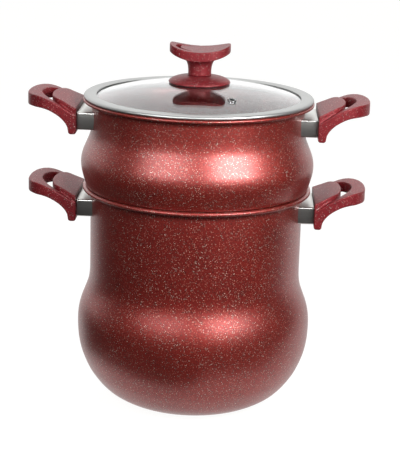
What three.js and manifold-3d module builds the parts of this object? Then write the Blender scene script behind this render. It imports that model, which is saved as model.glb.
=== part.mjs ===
// A couscoussier: a bellied pot, a steamer that seats in its mouth, and a domed glass lid.
// Millimetres, +Z up, origin at the centre of the pot's flat base, handles along X.
import * as THREE from "three";
import { mergeVertices } from "three/addons/utils/BufferGeometryUtils.js";
import Module from "manifold-3d";

// Shared by the whole set
const clearance = 0.3; // left between two pieces that touch
const overrun = 5; // a cutter runs this far past what it cuts
const weld = 1e-4; // vertices closer than this are one
const neckRadius = 115.4; // outside of the pot's neck, which the rims and the lid follow
const wall = 3; // cast wall of pot and steamer
const rimFlare = 8.6; // both rims stand this far out from the pot's neck
const flareHeight = 11;
const rimLipWidth = 5.2; // flat top of a rim, from its edge to the inside of the mouth

// Pot, in heights that add up from the base
const potBaseRadius = 73;
const potBaseThickness = 6;
const potBellyHeight = 87.7;
const potBellySwell = 13.1; // the belly stands this far out from the neck
const potShoulderHeight = 73.6;
const potNeckHeight = 78.6;
const potRimThickness = 4.6;

// Steamer, in heights that add up from the pot's rim
const steamerBellyHeight = 27.2;
const steamerBellySwell = 10.8;
const steamerShoulderHeight = 37.6;
const steamerNeckHeight = 29.7;
const steamerNeckInset = 1; // its neck is this much slimmer than the pot's
const steamerRimThickness = 3.4;
const seatInset = 3.5; // its seat stops this far inside the edge of the pot's rim
const skirtDepth = 24; // how far it reaches down into the pot
const skirtPlay = 1.6; // all round, between the skirt and the pot's mouth
const skirtTaper = 2.4;
const steamerFloor = 3;
const steamHoleRadius = 2;
const steamHoleMargin = 12; // from the outer holes to the inside of the skirt

// Lid
const lidInset = 0.6; // the steel band stops this far inside the rim
const brimWidth = 13.8;
const brimThickness = 4.3; // at its crown
const brimRound = 1; // at the lower edge of its rolled rim
const brimLipDrop = 0.8; // its inner lip lies this far under the crown
const channelSheet = 0.9;
const channelHold = 2.4; // how much of the glass's edge the channel covers
const glassThickness = 4;
const domeRise = 14.5; // from the band's inner lip to the top of the glass
const ventBore = 2;
const ventTube = 0.9;
const ventFlangeWidth = 1.9;
const ventFlangeThickness = 0.8;
const ventReach = 76; // from the lid's axis
const ventTurn = THREE.MathUtils.degToRad(-61.5);

// Knob, from the glass up
const gasketRadius = 14;
const gasketThickness = 1;
const knobBaseRadius = 33;
const knobBaseEdge = 2.1;
const knobBaseDome = 6.1; // rise of its top from the edge to the stem
const stemRadius = 12.7;
const stemHeight = 17.4;
const stemFlareWidth = 4.6;
const stemFlareHeight = 10;
const saddleLength = 65;
const saddleWidth = 55;
const saddleThickness = 10;
const saddleTipThickness = 8.2;
const saddleLift = 6.3; // the two ends turn up by this much
const saddleRim = 9; // width of the saddle's rim outside its groove
const saddleGroove = 5; // widest part of the crescent groove
const saddleGrooveDepth = 3.6;
const insertRadius = 4.4;
const insertLength = 14;
const knobScrewRadius = 2;
const knobScrewHeadWidth = 2.4;
const knobScrewHeadHeight = 2.6;
const knobScrewThread = 11; // length inside the insert
const lidWasherWidth = 6;
const lidWasherThickness = 1;

// Handles, measured outwards from the vessel's axis and upwards from the guard's middle
const handleDrop = 22.6; // from the top of a rim down to the guard's middle
const rootReach = 3.6; // the root face of a grip stands this far outside the rim
const gripLength = 55.4;
const gripWidth = 86;
const gripRootWidth = 82;
const gripEndWidth = 17; // width of the loop at its outer end
const gripSideWidth = 14; // and at its sides
const gripRise = 27.2; // top of the loop at its outer end
const gripRootRise = 6.4; // top of the loop where it leaves the root
const gripEndThickness = 12.8;
const footDepth = 12.9; // the foot reaches this far down
const footLength = 8;
const footRounding = 1.6;
const tongueLength = 29.4;
const tongueRootRise = 14.6;
const tongueEndRise = 24.9;
const tongueTaper = 7; // narrower on each side where its round end starts
const guardWidth = 66;
const guardHeight = 18.9;
const guardSheet = 1;
const lugWidth = 26;
const lugHeight = 11;
const screwRadius = 2.2;
const screwHeadWidth = 2.4;
const screwHeadHeight = 2.8;
const screwSeat = 7.4; // thickness of the grip's root under the washer
const screwPocket = 18.5; // length of the pocket that takes the washer and the screw's head
const screwThread = 9; // length inside the lug
const washerWidth = 3.4;
const washerThickness = 1;

// Counts
const vesselSides = 40;
const roundSides = 16;
const holeSides = 6;
const potSteps = 17; // along the side of the pot
const steamerSteps = 10;
const shortSteps = 3;
const glassSteps = 6;
const gripSteps = 9;
const steamHoleRings = 4;

// Outlines, as shares of the sizes that they follow: [height, swell] for the vessels
const potBowlShares = [
  [0, 0], [0.03, 0.18], [0.12, 0.41], [0.26, 0.625], [0.435, 0.805], [0.62, 0.93], [0.8, 0.985], [1, 1],
];
const potShoulderShares = [[0.22, 0.9], [0.45, 0.475], [0.66, 0.085], [0.82, 0.015], [1, 0]];
const steamerBowlShares = [[0, 0], [0.34, 0.45], [0.77, 0.95], [1, 1]];
const steamerShoulderShares = [[0.16, 0.965], [0.475, 0.61], [0.8, 0.1], [1, 0]];
const flareOutsideShares = [[0, 0], [0.3, 0.08], [0.62, 0.42], [0.85, 0.78]];
const flareInsideShares = [[0, 0], [0.3, 0.33], [0.6, 0.72]];
const rollTurnShares = [-1, -0.5, 0, 0.5, 1];
// and [outwards, upwards] for the grips
const loopTopShares = [
  [0, 0], [0.15, 0.26], [0.28, 0.48], [0.4, 0.67], [0.55, 0.84], [0.71, 0.965], [0.86, 1], [1, 0.975],
];
const loopUnderShares = [
  [0.152, 0.14], [0.165, 0.31], [0.26, 0.575], [0.4, 0.79], [0.55, 0.934], [0.71, 1], [1, 1],
];
const tongueTopShares = [[0, 0], [0.3, 0.4], [0.6, 0.8], [0.85, 0.96], [1, 1]];
const tongueUnderShare = 0.65; // of its height, where its end leaves the loop's web
const tongueStraightShare = 0.6; // of its length, before its end turns round
const loopStraightShare = 0.35;
const crescentStartShare = 0.47; // of the length of the loop's inside
const knobBaseTopShares = [[0, 0], [0.14, 0.4], [0.36, 0.68], [0.64, 0.88], [1, 1]]; // [inwards, upwards]
const brimTopShares = [[0, 0.24], [0.02, 0.42], [0.08, 0.62], [0.18, 0.81], [0.32, 0.95], [0.5, 1]];
const loopSquareness = 2.5; // 2 is an ellipse, more is squarer
const saddleSquareness = 2.2;

// Finishes
const coating = { color: 0x8a2326, roughness: 0.42, metalness: 0.35 };
const bakelite = { color: 0xa03038, roughness: 0.5, metalness: 0.05 };
const brushedSteel = { color: 0x8f918c, roughness: 0.35, metalness: 1 };
const brightSteel = { color: 0xc9cbc8, roughness: 0.2, metalness: 1 };
const aluminium = { color: 0xb4b6b8, roughness: 0.5, metalness: 1 };
const brass = { color: 0xb9974f, roughness: 0.35, metalness: 1 };
const silicone = { color: 0xd8d6d2, roughness: 0.7, metalness: 0 };
const glass = { color: 0xc9c6cf, roughness: 0.05, metalness: 0, transparent: true, opacity: 0.45 };

// Sizes that follow
const rimRadius = neckRadius + rimFlare;
const mouthRadius = rimRadius - rimLipWidth;
const potHeight = potBellyHeight + potShoulderHeight + potNeckHeight;
const seatHeight = potHeight + clearance;
const steamerTop = seatHeight + steamerBellyHeight + steamerShoulderHeight + steamerNeckHeight;
const steamerNeckRadius = neckRadius - steamerNeckInset;
const skirtRadius = neckRadius - wall - skirtPlay;
const skirtFootRadius = skirtRadius - skirtTaper;
const rootRadius = rimRadius + rootReach;

const wasm = await Module();
wasm.setup();

// A closed geometry as a solid: shared vertices are merged and collapsed triangles dropped.
function solidOf(geometry) {
  const bare = geometry.clone();
  bare.deleteAttribute("normal");
  bare.deleteAttribute("uv");
  const merged = mergeVertices(bare, weld);
  const corners = merged.index.array;
  const kept = [];
  for (let i = 0; i < corners.length; i += 3) {
    const [a, b, c] = [corners[i], corners[i + 1], corners[i + 2]];
    if (a !== b && b !== c && a !== c) kept.push(a, b, c);
  }
  return new wasm.Manifold(
    new wasm.Mesh({
      numProp: 3,
      vertProperties: new Float32Array(merged.attributes.position.array),
      triVerts: new Uint32Array(kept),
    }),
  );
}

function meshOf(name, solid, finish) {
  const { vertProperties, triVerts } = solid.getMesh();
  const geometry = new THREE.BufferGeometry();
  geometry.setAttribute("position", new THREE.BufferAttribute(vertProperties, 3));
  geometry.setIndex(new THREE.BufferAttribute(triVerts, 1));
  geometry.computeVertexNormals();
  const mesh = new THREE.Mesh(geometry, new THREE.MeshStandardMaterial(finish));
  mesh.name = name;
  return mesh;
}

// Pairs of [radius, height] turned about Z. They run anticlockwise, with the radius to the
// right, and start and end on the axis.
function revolved(profile, sides) {
  const points = profile.map(([radius, height]) => new THREE.Vector2(radius, height));
  return solidOf(new THREE.LatheGeometry(points, sides).rotateX(Math.PI / 2));
}

// The same for a profile that closes on itself, clear of the axis.
function ring(profile, sides) {
  return revolved([...profile, profile[0]], sides);
}

function tube(bore, radius, bottom, top, sides = roundSides) {
  return ring([[bore, bottom], [radius, bottom], [radius, top], [bore, top]], sides);
}

function rod(radius, bottom, top, sides = roundSides) {
  return revolved([[0, bottom], [radius, bottom], [radius, top], [0, top]], sides);
}

function block([left, front, bottom], [right, back, top]) {
  const box = new THREE.BoxGeometry(right - left, back - front, top - bottom);
  return solidOf(box.translate((left + right) / 2, (front + back) / 2, (bottom + top) / 2));
}

// An outline in X and Y, raised from bottom to top.
function plate(outline, bottom, top) {
  const shape = new THREE.Shape(outline.map(([x, y]) => new THREE.Vector2(x, y)));
  const body = new THREE.ExtrudeGeometry(shape, { depth: top - bottom, bevelEnabled: false });
  return solidOf(body.translate(0, 0, bottom));
}

// An outline in X and Z, carried across Y by half a width to each side.
function slab(outline, halfWidth) {
  const shape = new THREE.Shape(outline.map(([x, z]) => new THREE.Vector2(x, z)));
  const body = new THREE.ExtrudeGeometry(shape, { depth: 2 * halfWidth, bevelEnabled: false });
  return solidOf(body.translate(0, 0, -halfWidth).rotateX(Math.PI / 2));
}

// Evenly spaced pairs on a smooth line through the given pairs.
function smooth(pairs, steps) {
  const curve = new THREE.CatmullRomCurve3(pairs.map(([a, b]) => new THREE.Vector3(a, b, 0)));
  return curve.getSpacedPoints(steps).map((point) => [point.x, point.y]);
}

// Shares of a span, as pairs between two places.
function between(shares, [fromA, fromB], [toA, toB]) {
  return shares.map(([a, b]) => [THREE.MathUtils.lerp(fromA, toA, a), THREE.MathUtils.lerp(fromB, toB, b)]);
}

// Shares of [height, swell], as pairs of [radius, height].
function profileBetween(shares, [lowRadius, lowHeight], [highRadius, highHeight]) {
  return between(shares, [lowHeight, lowRadius], [highHeight, highRadius]).map(([z, r]) => [r, z]);
}

// Half of a rounded outline, from +Y round to -Y about a middle on the X axis.
function roundedEnd(middle, reach, halfWidth, squareness, steps = gripSteps) {
  const points = [];
  for (let i = 0; i <= 2 * steps; i += 1) {
    const angle = (Math.PI / 2) * (1 - i / steps);
    const across = Math.abs(Math.sin(angle)) ** (2 / squareness) * Math.sign(Math.sin(angle));
    points.push([middle + reach * Math.abs(Math.cos(angle)) ** (2 / squareness), halfWidth * across]);
  }
  return points;
}

// A line moved sideways by a distance, to the left of the way that it runs.
function offset(line, distance) {
  return line.map(([x, y], i) => {
    const [x0, y0] = line[Math.max(i - 1, 0)];
    const [x1, y1] = line[Math.min(i + 1, line.length - 1)];
    const length = Math.hypot(x1 - x0, y1 - y0);
    return [x - (distance * (y1 - y0)) / length, y + (distance * (x1 - x0)) / length];
  });
}

// A vessel's side, from its lowest shown point up to where its rim starts to flare.
const potSide = smooth(
  [
    ...profileBetween(potBowlShares, [potBaseRadius, 0], [neckRadius + potBellySwell, potBellyHeight]),
    ...profileBetween(
      potShoulderShares,
      [neckRadius, potBellyHeight],
      [neckRadius + potBellySwell, potBellyHeight + potShoulderHeight],
    ),
  ],
  potSteps,
);
const steamerBelly = seatHeight + steamerBellyHeight;
const steamerSide = smooth(
  [
    ...profileBetween(
      steamerBowlShares,
      [rimRadius - seatInset, seatHeight],
      [steamerNeckRadius + steamerBellySwell, steamerBelly],
    ),
    ...profileBetween(
      steamerShoulderShares,
      [steamerNeckRadius, steamerBelly],
      [steamerNeckRadius + steamerBellySwell, steamerBelly + steamerShoulderHeight],
    ),
  ],
  steamerSteps,
);

// The flare and the rolled edge of a rim, outside, from the neck up to the flat top.
function rimOutside(neck, top, thickness) {
  const roll = thickness / 2;
  const flare = profileBetween(flareOutsideShares, [neck, top - flareHeight], [rimRadius, top - thickness]);
  const edge = rollTurnShares.map((share) => {
    const turn = (share * Math.PI) / 2;
    return [rimRadius - roll + roll * Math.cos(turn), top - roll + roll * Math.sin(turn)];
  });
  return [...flare, ...edge];
}

// The inside of the same rim, from the edge of the mouth down to the neck.
function rimInside(neck, top) {
  const flare = profileBetween(flareInsideShares, [neck - wall, top - flareHeight], [mouthRadius, top]);
  return [...flare, [mouthRadius, top]].reverse();
}

// The inside of a side, from the neck down to a floor's height.
function sideInside(side, floorHeight) {
  return offset(side, wall)
    .filter(([, height]) => height > floorHeight + wall)
    .reverse();
}

function potBody() {
  const inside = sideInside(potSide, potBaseThickness);
  const floorEdge = inside[inside.length - 1][0] - wall;
  return revolved(
    [
      [0, 0],
      ...potSide,
      ...rimOutside(neckRadius, potHeight, potRimThickness),
      ...rimInside(neckRadius, potHeight),
      ...inside,
      [floorEdge, potBaseThickness],
      [0, potBaseThickness],
    ],
    vesselSides,
  );
}

function steamerBody() {
  const foot = seatHeight - skirtDepth;
  const shell = revolved(
    [
      [0, foot],
      [skirtFootRadius, foot],
      [skirtRadius, seatHeight],
      ...steamerSide,
      ...rimOutside(steamerNeckRadius, steamerTop, steamerRimThickness),
      ...rimInside(steamerNeckRadius, steamerTop),
      ...sideInside(steamerSide, seatHeight),
      [rimRadius - seatInset - wall, seatHeight + wall],
      [skirtRadius - wall, seatHeight + wall],
      [skirtFootRadius - wall, foot + steamerFloor],
      [0, foot + steamerFloor],
    ],
    vesselSides,
  );
  const holes = [];
  const spacing = (skirtFootRadius - wall - steamHoleMargin) / steamHoleRings;
  for (let round = 0; round <= steamHoleRings; round += 1) {
    const count = Math.max(1, 6 * round);
    for (let i = 0; i < count; i += 1) {
      const turn = (2 * Math.PI * i) / count;
      const hole = rod(steamHoleRadius, foot - overrun, foot + steamerFloor + overrun, holeSides);
      holes.push(hole.translate([round * spacing * Math.cos(turn), round * spacing * Math.sin(turn), 0]));
    }
  }
  return holes.reduce((body, hole) => body.subtract(hole), shell);
}

// The outside of a vessel's neck, a clearance larger, to cut what is fitted round it.
function neckCutter(neck, top, thickness, lowest) {
  const outside = [[neck, lowest], ...rimOutside(neck, top, thickness)];
  const larger = outside.map(([radius, height]) => [radius + clearance, height]);
  return revolved([[0, lowest], ...larger, [0, top]], vesselSides);
}

// A solid turned so that its Z runs outwards along a handle's X.
function outwards(solid) {
  return solid.transform(new THREE.Matrix4().makeRotationY(Math.PI / 2).elements);
}

const end = rootRadius + gripLength;
const loopInsideEnd = end - gripEndWidth;
const tongueEnd = rootRadius + tongueLength;

function tonguePlan() {
  const straight = rootRadius + tongueStraightShare * tongueLength;
  const halfWidth = gripRootWidth / 2 - tongueTaper;
  return [
    [rootRadius, -gripRootWidth / 2],
    ...roundedEnd(straight, tongueEnd - straight, halfWidth, 2).reverse(),
    [rootRadius, gripRootWidth / 2],
  ];
}

function grip() {
  const straight = rootRadius + loopStraightShare * gripLength;
  const plan = [
    [rootRadius, -gripRootWidth / 2],
    ...roundedEnd(straight, end - straight, gripWidth / 2, loopSquareness).reverse(),
    [rootRadius, gripRootWidth / 2],
  ];
  const loopTop = between(loopTopShares, [rootRadius, gripRootRise], [end, gripRise]);
  const loopUnder = between(loopUnderShares, [rootRadius, -footDepth], [end, gripRise - gripEndThickness]);
  const side = [
    [rootRadius, footRounding - footDepth],
    [rootRadius + footRounding, -footDepth],
    [rootRadius + footLength - footRounding, -footDepth],
    [rootRadius + footLength, footRounding - footDepth],
    ...smooth(loopUnder, gripSteps),
    ...smooth(loopTop, gripSteps).reverse(),
  ];
  const loop = plate(plan, -footDepth - overrun, gripRise + overrun).intersect(slab(side, gripWidth));

  const tongueTop = between(tongueTopShares, [rootRadius, tongueRootRise], [tongueEnd, tongueEndRise]);
  const tongueSide = [
    [rootRadius, 0],
    [tongueEnd, tongueUnderShare * tongueEndRise],
    ...smooth(tongueTop, gripSteps).reverse(),
  ];
  const tongue = plate(tonguePlan(), -overrun, gripRise + overrun).intersect(slab(tongueSide, gripWidth));

  const crescentStart = rootRadius + crescentStartShare * (loopInsideEnd - rootRadius);
  const crescentHalfWidth = gripWidth / 2 - gripSideWidth;
  const crescentPlan = roundedEnd(crescentStart, loopInsideEnd - crescentStart, crescentHalfWidth, 2);
  const crescent = plate(crescentPlan.reverse(), -footDepth, gripRise + overrun).subtract(
    plate(tonguePlan(), -footDepth - overrun, gripRise + 2 * overrun),
  );

  const seat = rootRadius + screwSeat;
  const screwHole = outwards(rod(screwRadius + clearance, rootRadius - overrun, seat + overrun));
  const pocket = outwards(rod(screwRadius + washerWidth + clearance, seat, seat + screwPocket));
  return loop.add(tongue).subtract(crescent).subtract(screwHole).subtract(pocket);
}

function guard(cutter) {
  const [halfWidth, halfHeight] = [guardWidth / 2, guardHeight / 2];
  const outer = block([0, -halfWidth, -halfHeight], [rootRadius - clearance, halfWidth, halfHeight]);
  const inner = block(
    [-overrun, guardSheet - halfWidth, guardSheet - halfHeight],
    [rootRadius + overrun, halfWidth - guardSheet, halfHeight - guardSheet],
  );
  return outer.subtract(inner).subtract(cutter);
}

function lug(cutter) {
  const face = rootRadius - clearance;
  const bar = block([0, -lugWidth / 2, -lugHeight / 2], [face, lugWidth / 2, lugHeight / 2]);
  const thread = outwards(rod(screwRadius + clearance, face - screwThread - clearance, face + overrun));
  return bar.subtract(cutter).subtract(thread);
}

// A screw along Z, its head on top and its tip at zero.
function screw(radius, headWidth, headHeight, length) {
  return revolved(
    [
      [0, 0],
      [radius, 0],
      [radius, length],
      [radius + headWidth, length],
      [radius + headWidth, length + headHeight / 2],
      [radius + headWidth / 2, length + headHeight],
      [0, length + headHeight],
    ],
    roundSides,
  );
}

// A handle: grip, flame guard, lug, screw and washer, in a group turned to its side.
function handle(name, neck, top, thickness, turn) {
  const height = top - handleDrop;
  const cutter = neckCutter(neck, top, thickness, height - guardHeight).translate([0, 0, -height]);
  const group = new THREE.Group();
  group.position.z = height;
  group.rotation.z = turn;
  group.add(meshOf(name + "_grip", grip(), bakelite));
  group.add(meshOf(name + "_flame_guard", guard(cutter), brushedSteel));
  group.add(meshOf(name + "_lug", lug(cutter), aluminium));

  const washerStart = rootRadius + screwSeat + clearance;
  const washerBore = screwRadius + clearance;
  const washer = tube(washerBore, screwRadius + washerWidth, washerStart, washerStart + washerThickness);
  group.add(meshOf(name + "_washer", outwards(washer), brightSteel));

  const tip = rootRadius - clearance - screwThread;
  const shank = washerStart + washerThickness + clearance - tip;
  const fastener = screw(screwRadius, screwHeadWidth, screwHeadHeight, shank).translate([0, 0, tip]);
  group.add(meshOf(name + "_screw", outwards(fastener), brightSteel));
  return group;
}

// The lid. Its glass is part of a sphere through the band's inner lip and the dome's top.
const brimBottom = steamerTop + clearance;
const brimTop = brimBottom + brimThickness;
const lidRadius = rimRadius - lidInset;
const brimInside = lidRadius - brimWidth;
const glassRadius = brimInside + channelHold;
const lipTop = brimTop - brimLipDrop;
const glassTop = lipTop + domeRise;
const glassAtBrim = lipTop - channelSheet - clearance;
const glassSag = glassTop - glassAtBrim;
const sphereRadius = (brimInside ** 2 + glassSag ** 2) / (2 * glassSag);
const sphereMiddle = glassTop - sphereRadius;
const screwHoleRadius = knobScrewRadius + clearance;

const glassHeight = (radius) => sphereMiddle + Math.sqrt(sphereRadius ** 2 - radius ** 2);

// The vent's place on the dome, with Z square to the glass.
const ventPlace = new THREE.Group();
ventPlace.rotation.set(0, Math.asin(ventReach / sphereRadius), ventTurn, "ZYX");
ventPlace.position.set(
  ventReach * Math.cos(ventTurn),
  ventReach * Math.sin(ventTurn),
  glassHeight(ventReach),
);
ventPlace.updateMatrix();

function lidGlass() {
  const arc = (radius) => {
    const points = [];
    for (let i = 0; i <= glassSteps; i += 1) {
      const share = i / glassSteps;
      const out = THREE.MathUtils.lerp(screwHoleRadius, glassRadius, share) / sphereRadius;
      points.push([radius * out, sphereMiddle + radius * Math.sqrt(1 - out ** 2)]);
    }
    return points;
  };
  const dome = ring([...arc(sphereRadius - glassThickness), ...arc(sphereRadius).reverse()], vesselSides);
  const ventHole = rod(ventBore + ventTube + clearance, -glassThickness - overrun, overrun);
  return dome.subtract(ventHole.transform(ventPlace.matrix.elements));
}

// The steel band: a rolled brim that rests on the rim, and a channel round the glass's edge.
function lidBand() {
  const channelInside = glassRadius + clearance;
  const channelOutside = channelInside + channelSheet;
  const glassUnder = glassHeight(glassRadius) - glassThickness - clearance;
  return ring(
    [
      [brimInside, glassUnder - channelSheet],
      [channelOutside, glassUnder - channelSheet],
      [channelOutside, brimBottom],
      [lidRadius - brimRound, brimBottom],
      ...between(brimTopShares, [lidRadius, brimBottom], [brimInside, brimTop]),
      [brimInside, lipTop],
      [brimInside, lipTop - channelSheet],
      [channelInside, lipTop - channelSheet],
      [channelInside, glassUnder],
      [brimInside, glassUnder],
    ],
    vesselSides,
  );
}

function ventEyelet() {
  const flange = ventBore + ventTube + ventFlangeWidth;
  const under = -glassThickness - clearance;
  return ring(
    [
      [ventBore, under - ventFlangeThickness],
      [flange, under - ventFlangeThickness],
      [flange, under],
      [ventBore + ventTube, under],
      [ventBore + ventTube, clearance],
      [flange, clearance],
      [flange, clearance + ventFlangeThickness],
      [ventBore, clearance + ventFlangeThickness],
    ],
    roundSides,
  );
}

const gasketBottom = glassTop + clearance;
const gasketTop = gasketBottom + gasketThickness;
const knobBaseBottom = glassHeight(knobBaseRadius) + clearance;
const knobBaseTop = knobBaseBottom + knobBaseEdge + knobBaseDome;
const stemBottom = knobBaseTop + clearance;
const saddleBottom = stemBottom + stemHeight;

function knobBase() {
  const edgeTop = knobBaseBottom + knobBaseEdge;
  return ring(
    [
      [screwHoleRadius, gasketTop + clearance],
      [gasketRadius, gasketTop + clearance],
      [knobBaseRadius - knobBaseEdge, knobBaseBottom],
      [knobBaseRadius, knobBaseBottom],
      ...between(knobBaseTopShares, [knobBaseRadius, edgeTop], [stemRadius, knobBaseTop]),
      [screwHoleRadius, knobBaseTop],
    ],
    2 * roundSides,
  );
}

// A line across the saddle, from its left tip to its right one, bent up at both ends.
function saddleLine(height, lift) {
  const points = [];
  for (let i = -gripSteps; i <= gripSteps; i += 1) {
    const share = i / gripSteps;
    points.push([(share * saddleLength) / 2, height + lift * share ** 2]);
  }
  return points;
}

function oval(halfLength, halfWidth, middle) {
  const half = roundedEnd(0, halfLength, halfWidth, saddleSquareness).reverse();
  const other = half.map(([x, y]) => [-x, -y]).slice(1, -1);
  return [...half, ...other].map(([x, y]) => [x + middle, y]);
}

function knobHead() {
  const top = saddleBottom + saddleThickness;
  const underLift = saddleLift + saddleThickness - saddleTipThickness;
  const under = saddleLine(saddleBottom, underLift);
  const side = slab([...under, ...saddleLine(top, saddleLift).reverse()], saddleWidth);
  const [low, high] = [saddleBottom - overrun, top + saddleLift + overrun];
  const head = plate(oval(saddleLength / 2, saddleWidth / 2, 0), low, high);

  const grooveLength = saddleLength / 2 - saddleRim;
  const grooveWidth = saddleWidth / 2 - saddleRim;
  const tongueMiddle = saddleGroove / 2;
  const grooveFloor = saddleLine(top - saddleGrooveDepth, saddleLift).reverse();
  const groove = plate(oval(grooveLength, grooveWidth, -tongueMiddle), saddleBottom, top + saddleLift)
    .subtract(plate(oval(grooveLength, grooveWidth, tongueMiddle), low, high))
    .subtract(slab([...under, ...grooveFloor], saddleWidth));

  const flare = roundedEnd(0, stemFlareHeight, stemFlareWidth, 2, shortSteps).slice(0, shortSteps + 1);
  const stem = revolved(
    [
      [0, stemBottom],
      [stemRadius, stemBottom],
      ...flare.map(([up, out]) => [stemRadius + stemFlareWidth - out, saddleBottom - stemFlareHeight + up]),
      [stemRadius + stemFlareWidth, saddleBottom + clearance],
      [0, saddleBottom + clearance],
    ],
    2 * roundSides,
  );
  const boreTop = stemBottom + insertLength + 2 * clearance;
  const bore = rod(insertRadius + clearance, stemBottom - overrun, boreTop);
  return head.intersect(side).subtract(groove).add(stem).subtract(bore);
}

function lid() {
  const group = new THREE.Group();
  group.add(meshOf("lid_glass", lidGlass(), glass));
  group.add(meshOf("lid_band", lidBand(), brightSteel));
  ventPlace.add(meshOf("vent_eyelet", ventEyelet(), brightSteel));
  group.add(ventPlace);

  const gasket = tube(screwHoleRadius, gasketRadius, gasketBottom, gasketTop);
  group.add(meshOf("knob_gasket", gasket, silicone));
  group.add(meshOf("knob_base", knobBase(), bakelite));
  group.add(meshOf("knob_head", knobHead(), bakelite));

  const insertBottom = stemBottom + clearance;
  const insert = tube(screwHoleRadius, insertRadius, insertBottom, insertBottom + insertLength);
  group.add(meshOf("knob_insert", insert, brass));

  const washerTop = glassTop - glassThickness - clearance;
  const washerBottom = washerTop - lidWasherThickness;
  const washer = tube(screwHoleRadius, knobScrewRadius + lidWasherWidth, washerBottom, washerTop);
  group.add(meshOf("knob_washer", washer, brightSteel));

  const headTop = washerBottom - clearance;
  const shank = insertBottom + knobScrewThread - headTop;
  const fastener = meshOf(
    "knob_screw",
    screw(knobScrewRadius, knobScrewHeadWidth, knobScrewHeadHeight, shank),
    brightSteel,
  );
  fastener.rotation.x = Math.PI;
  fastener.position.z = headTop + shank;
  group.add(fastener);
  return group;
}

const couscoussier = new THREE.Group();
couscoussier.add(meshOf("pot_body", potBody(), coating));
couscoussier.add(meshOf("steamer_body", steamerBody(), coating));
for (const [side, turn] of [["left", Math.PI], ["right", 0]]) {
  couscoussier.add(handle("pot_" + side, neckRadius, potHeight, potRimThickness, turn));
  couscoussier.add(handle("steamer_" + side, steamerNeckRadius, steamerTop, steamerRimThickness, turn));
}
couscoussier.add(lid());

export default couscoussier;
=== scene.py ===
import math

import bmesh
import bpy
from mathutils import Matrix, Vector
from mathutils.geometry import interpolate_bezier


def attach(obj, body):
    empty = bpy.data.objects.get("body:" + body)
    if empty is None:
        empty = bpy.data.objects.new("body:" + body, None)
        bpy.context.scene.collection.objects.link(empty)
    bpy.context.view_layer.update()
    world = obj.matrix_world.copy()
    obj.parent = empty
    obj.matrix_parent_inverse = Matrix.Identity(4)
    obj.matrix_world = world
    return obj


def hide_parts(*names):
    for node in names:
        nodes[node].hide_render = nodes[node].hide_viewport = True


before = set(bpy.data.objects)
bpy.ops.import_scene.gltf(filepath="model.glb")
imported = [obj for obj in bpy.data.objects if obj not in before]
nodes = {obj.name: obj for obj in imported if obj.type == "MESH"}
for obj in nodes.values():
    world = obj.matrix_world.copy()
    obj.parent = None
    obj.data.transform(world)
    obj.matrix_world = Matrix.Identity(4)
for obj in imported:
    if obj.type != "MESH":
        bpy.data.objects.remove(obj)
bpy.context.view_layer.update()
scene = bpy.context.scene
scene.view_settings.view_transform = "Standard"
mm = 0.001
print("frame loaded:", len(nodes), "nodes")


# Camera and studio

view = {
    "distance": 1.5, "height": 0.607, "focalPixels": 1414, "frameWidth": 400, "sensor": 36, "farthest": 60,
    "pitch": 15.54, "roll": 1.6, "aim": 0.19, "around": 2.0,
}

lens = bpy.data.cameras.new("photoCamera")
lens.sensor_fit = "HORIZONTAL"
lens.sensor_width = view["sensor"]
lens.lens = view["focalPixels"] / view["frameWidth"] * view["sensor"]
lens.clip_end = view["farthest"]
photoCamera = bpy.data.objects.new("photoCamera", lens)
scene.collection.objects.link(photoCamera)
photoCamera.matrix_world = (
    Matrix.Rotation(math.radians(view["around"]), 4, "Z")
    @ Matrix.Translation((0, -view["distance"], view["height"]))
    @ Matrix.Rotation(math.radians(-view["aim"]), 4, "Z")
    @ Matrix.Rotation(math.radians(90 - view["pitch"]), 4, "X")
    @ Matrix.Rotation(math.radians(view["roll"]), 4, "Z")
)
scene.camera = photoCamera

# turn is in degrees from the front, to the right; size is width and height in metres
studio = {
    "rightBox": {"turn": 38, "rise": 30, "away": 0.9, "size": (0.54, 0.34), "power": 11},
    "leftBox": {"turn": -28, "rise": 30, "away": 0.9, "size": (0.6, 0.34), "power": 4.5},
    "overhead": {"turn": 180, "rise": 75, "away": 1.8, "size": (1.2, 1.2), "power": 6},
}
studioAim = Vector((0, 0, 0.2))

for name, box in studio.items():
    softbox = bpy.data.lights.new(name, "AREA")
    softbox.shape = "RECTANGLE"
    softbox.size, softbox.size_y = box["size"]
    softbox.energy = box["power"]
    lamp = bpy.data.objects.new(name, softbox)
    scene.collection.objects.link(lamp)
    turn, rise = math.radians(box["turn"]), math.radians(box["rise"])
    outwards = Vector((math.sin(turn) * math.cos(rise), -math.cos(turn) * math.cos(rise), math.sin(rise)))
    lamp.location = studioAim + outwards * box["away"]
    lamp.rotation_euler = outwards.to_track_quat("Z", "Y").to_euler()


# Small tools for nodes

def addNode(tree, kind, values=None, **settings):
    node = tree.nodes.new(kind)
    for key, value in settings.items():
        setattr(node, key, value)
    for key, value in (values or {}).items():
        node.inputs[key].default_value = value
    return node


def join(tree, start, output, end, entry):
    tree.links.new(start.outputs[output], end.inputs[entry])


def emptyGroup(name, entries, results):
    tree = bpy.data.node_groups.new(name, "ShaderNodeTree")
    for label, value in entries.items():
        socket = tree.interface.new_socket(label, in_out="INPUT", socket_type="NodeSocketFloat")
        socket.default_value = value
    for label in results:
        tree.interface.new_socket(label, in_out="OUTPUT", socket_type="NodeSocketFloat")
    return tree, tree.nodes.new("NodeGroupInput"), tree.nodes.new("NodeGroupOutput")


def useGroup(tree, group, values):
    node = addNode(tree, "ShaderNodeGroup", node_tree=group)
    for key, value in values.items():
        node.inputs[key].default_value = value
    return node


def newMaterial(name, values):
    material = bpy.data.materials.new(name)
    material.use_nodes = True
    shader = material.node_tree.nodes["Principled BSDF"]
    for key, value in values.items():
        shader.inputs[key].default_value = value
    return material, material.node_tree, shader


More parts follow.
